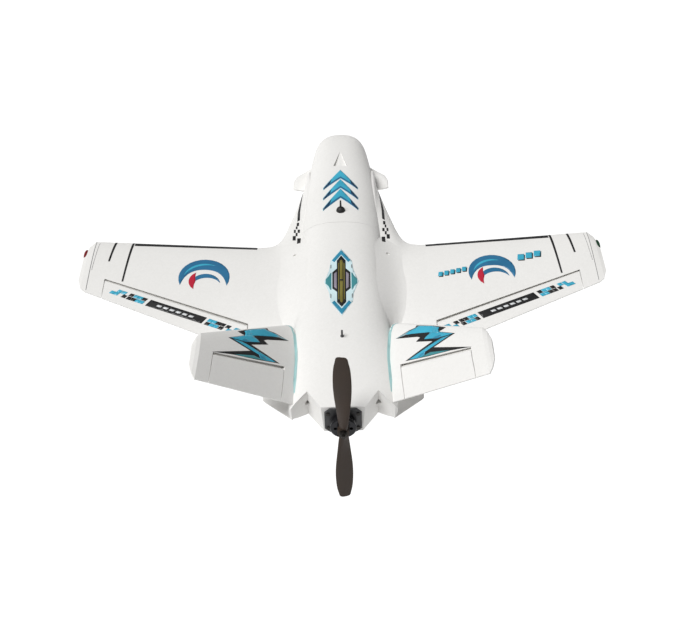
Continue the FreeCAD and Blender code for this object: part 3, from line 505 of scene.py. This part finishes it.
for side, label in ((-1, "port"), (1, "starboard")):
    wing_skin = surface_of("wing_" + label)
    shoulder = surface_of("wing_" + label, "fuselage")
    surface = surface_of("elevon_" + label)
    fin_skin = surface_of("tail_fin_" + label)

    # Leading edge line and the two chordwise lines near the tip.
    edge = [(-342, 5.4), (-140, 5.4), (-140, -3.0), (-342, -3.0)]
    laid("edge_line_" + label, on_side(side, [edge]), wing_skin, from_above, INK,
         "airframe", FIRST, cell=1.4)
    lines = [bar(-344.5, 7.0, -350.2, -87.0, 3.8, 2.8), bar(-373.0, 6.8, -377.7, -43.5, 3.8, 3.0)]
    laid("chord_lines_" + label, on_side(side, lines), wing_skin, from_above, INK,
         "airframe", FIRST, cell=2.0)
    # Grey lines along the two seams near the tip: painted shade of the seam grooves, laid as film.
    tip_seam_shade = [bar(-405.2, 5.5, -405.6, -104.5, 0.9), bar(-399.5, 2.0, -402.6, -63.0, 0.6)]
    laid("tip_lines_" + label, on_side(side, tip_seam_shade), wing_skin, from_above, LINE,
         "airframe", UNDER, cell=2.0)

    # Shoulder stripe ending in checks.
    stripe = [[(-67.4, 150), (-66.4, 150), (-68.0, 125), (-69.2, 105), (-70.2, 85), (-70.0, 62), (-74.4, 60),
               (-74.4, 85), (-72.5, 105), (-70.3, 125)]]
    for x, y, width, depth in CHECKS:
        stripe.append([(x, y + 0.8), (x + width, y), (x + width, y + depth - 0.8), (x, y + depth)])
    laid("shoulder_stripe_" + label, on_side(side, stripe), shoulder, from_above, INK,
         "airframe", LIFT, cell=3.0)

    # Band on the elevon.
    black, cyan, white = [[turned(o, BAND_TURN, BAND_X, BAND_Y) for o in group] for group in band_blocks()]
    moving = "elevon_" + label + "_surface"
    laid("elevon_band_" + label, on_side(side, black), surface, from_above, INK, moving, FIRST)
    laid("elevon_checks_" + label, on_side(side, cyan), surface, from_above, CYAN, moving, SECOND)
    laid("elevon_dashes_" + label, on_side(side, white), surface, from_above, WHITE, moving, SECOND)

    # Zigzag bolt on the inboard face of the tail fin.
    place = fin_drawing(side)
    laid("fin_bolt_" + label, [BOLT], fin_skin, place, INK, "airframe", FIRST)
    laid("fin_bolt_bright_" + label, BOLT_BRIGHT, fin_skin, place, CYAN, "airframe", SECOND)
    laid("fin_bolt_joint_" + label, [BOLT_JOINT], fin_skin, place, CYAN, "airframe", SECOND)
    laid("fin_bolt_deep_" + label, [BOLT_DEEP], fin_skin, place, TEAL, "airframe", SECOND)
    laid("fin_bolt_shade_" + label, BOLT_SHADE, fin_skin, place, SEA, "airframe", THIRD)
    laid("fin_bolt_fade_" + label, [BOLT_FADE], fin_skin, place, FADED, "airframe", THIRD)

    # Pale line along the root of the tail fin.
    root_skin = surface_of("tail_fin_" + label, "fuselage", "wing_" + label)
    laid("fin_root_line_" + label, on_side(side, [ribbon(ROOT_LINE, 4.4)]), root_skin, from_above, SAGE,
         "airframe", FIRST, cell=2.0)

# Plain wave emblem on each wing, with dashes beside the starboard one.
for label, cx, reach in (("port", -221.0, 41.0), ("starboard", 241.0, 37.5)):
    wing_skin = surface_of("wing_" + label)
    blue = [crescent(cx, -76, reach, 205, -25, 24), crescent(cx + 3, -92, 24, 190, 10, 9)]
    pale = [crescent(cx, -78, reach - 8, 170, 60, 4.5)]
    red = [crescent(cx - 3, -84, 21, 235, 120, 11)]
    laid("wave_" + label, blue, wing_skin, from_above, BLUE, "airframe", FIRST)
    laid("wave_light_" + label, pale, wing_skin, from_above, CYAN, "airframe", SECOND)
    laid("wave_accent_" + label, red, wing_skin, from_above, SCARLET, "airframe", SECOND)

# Runs of dashes: count, first corner, step, then width, height and lean, and how far the shadow drops.
DASH_RUNS = [
    (5, (154.5, -80.5), (9.6, 2.1), (7.0, 9.5, 1.6), 1.8),
    (3, (284.0, -54.0), (13.5, 3.0), (10.5, 13.0, 2.0), 2.0),
]
SHADOW_OUT = 1.2  # how far the shadow of a dash stands outboard of it
dashes = []
shadow = []
for count, (first_x, first_y), (step_x, step_y), size, drop in DASH_RUNS:
    for i in range(count):
        x = first_x + i * step_x
        y = first_y + i * step_y
        dashes.append(slanted(x, y, *size))
        shadow.append(slanted(x + SHADOW_OUT, y - drop, *size))
laid("wing_dash_shadow", shadow, surface_of("wing_starboard"), from_above, INK, "airframe", UNDER)
laid("wing_dashes", dashes, surface_of("wing_starboard"), from_above, CYAN, "airframe", MIDDLE)


# ---------------------------------------------------------------- floor, light and camera

def slab(name, size, z, material):
    """Flat square sheet for the ground."""
    mesh = bpy.data.meshes.new(name)
    corners = [(-size, -size, z), (size, -size, z), (size, size, z), (-size, size, z)]
    mesh.from_pydata(corners, [], [(0, 1, 2, 3)])
    mesh.materials.append(material)
    obj = bpy.data.objects.new(name, mesh)
    bpy.context.scene.collection.objects.link(obj)
    return obj


FLOOR_HALF = 60.0  # metres
FLOOR_Z = -2.4  # well below the aeroplane, so that it throws no shadow there
FLOOR_GLOW = 0.22
KEY_AT = (-0.78, -0.20, 1.72)
KEY_STRENGTH = 3.05
KEY_SPREAD = 36.0
ROOM_LIGHT = 0.11

floor_mat, _, floor_shader = new_material("pale_floor")
floor_shader.inputs["Base Color"].default_value = (0.93, 0.93, 0.93, 1)
floor_shader.inputs["Roughness"].default_value = 0.9
floor_shader.inputs["Emission Color"].default_value = (1.0, 1.0, 1.0, 1)
floor_shader.inputs["Emission Strength"].default_value = FLOOR_GLOW
slab("floor", FLOOR_HALF, FLOOR_Z, floor_mat)


def soft_light(name, place, strength, spread):
    """Wide far-off studio light shining towards the origin."""
    data = bpy.data.lights.new(name, "SUN")
    data.energy = strength
    data.angle = math.radians(spread)
    obj = bpy.data.objects.new(name, data)
    obj.location = place
    obj.rotation_euler = (-Vector(place)).to_track_quat("-Z", "Y").to_euler()
    bpy.context.scene.collection.objects.link(obj)


soft_light("key_left", KEY_AT, KEY_STRENGTH, KEY_SPREAD)

# A white room to look at, which gives the object only a little light.
world = bpy.data.worlds.new("studio")
world.use_nodes = True
room = world.node_tree
dim = room.nodes["Background"]
dim.inputs["Color"].default_value = (1.0, 1.0, 1.0, 1)
dim.inputs["Strength"].default_value = ROOM_LIGHT
bright = room.nodes.new("ShaderNodeBackground")
bright.inputs["Color"].default_value = (1.0, 1.0, 1.0, 1)
bright.inputs["Strength"].default_value = 1.0
seen = room.nodes.new("ShaderNodeLightPath")
either = room.nodes.new("ShaderNodeMixShader")
room.links.new(seen.outputs["Is Camera Ray"], either.inputs["Fac"])
room.links.new(dim.outputs["Background"], either.inputs[1])
room.links.new(bright.outputs["Background"], either.inputs[2])
room.links.new(either.outputs["Shader"], room.nodes["World Output"].inputs["Surface"])
bpy.context.scene.world = world
bpy.context.scene.view_settings.view_transform = "Standard"

CAMERA_AT = Vector((13.2, -1238.4, 1147.7)) * MM
CAMERA_YAW = -0.87
CAMERA_PITCH = 44.74
CAMERA_ROLL = -1.72
FOCAL = 51.9
camera_data = bpy.data.cameras.new("camera")
camera_data.sensor_width = 36.0
camera_data.lens = FOCAL
camera_data.clip_start = 0.05
camera = bpy.data.objects.new("camera", camera_data)
heading = Matrix.Rotation(math.radians(-CAMERA_YAW), 4, "Z")
tip_down = Matrix.Rotation(math.radians(90 - CAMERA_PITCH), 4, "X")
roll = Matrix.Rotation(math.radians(CAMERA_ROLL), 4, "Z")
camera.matrix_world = Matrix.Translation(CAMERA_AT) @ heading @ tip_down @ roll
bpy.context.scene.collection.objects.link(camera)
bpy.context.scene.camera = camera
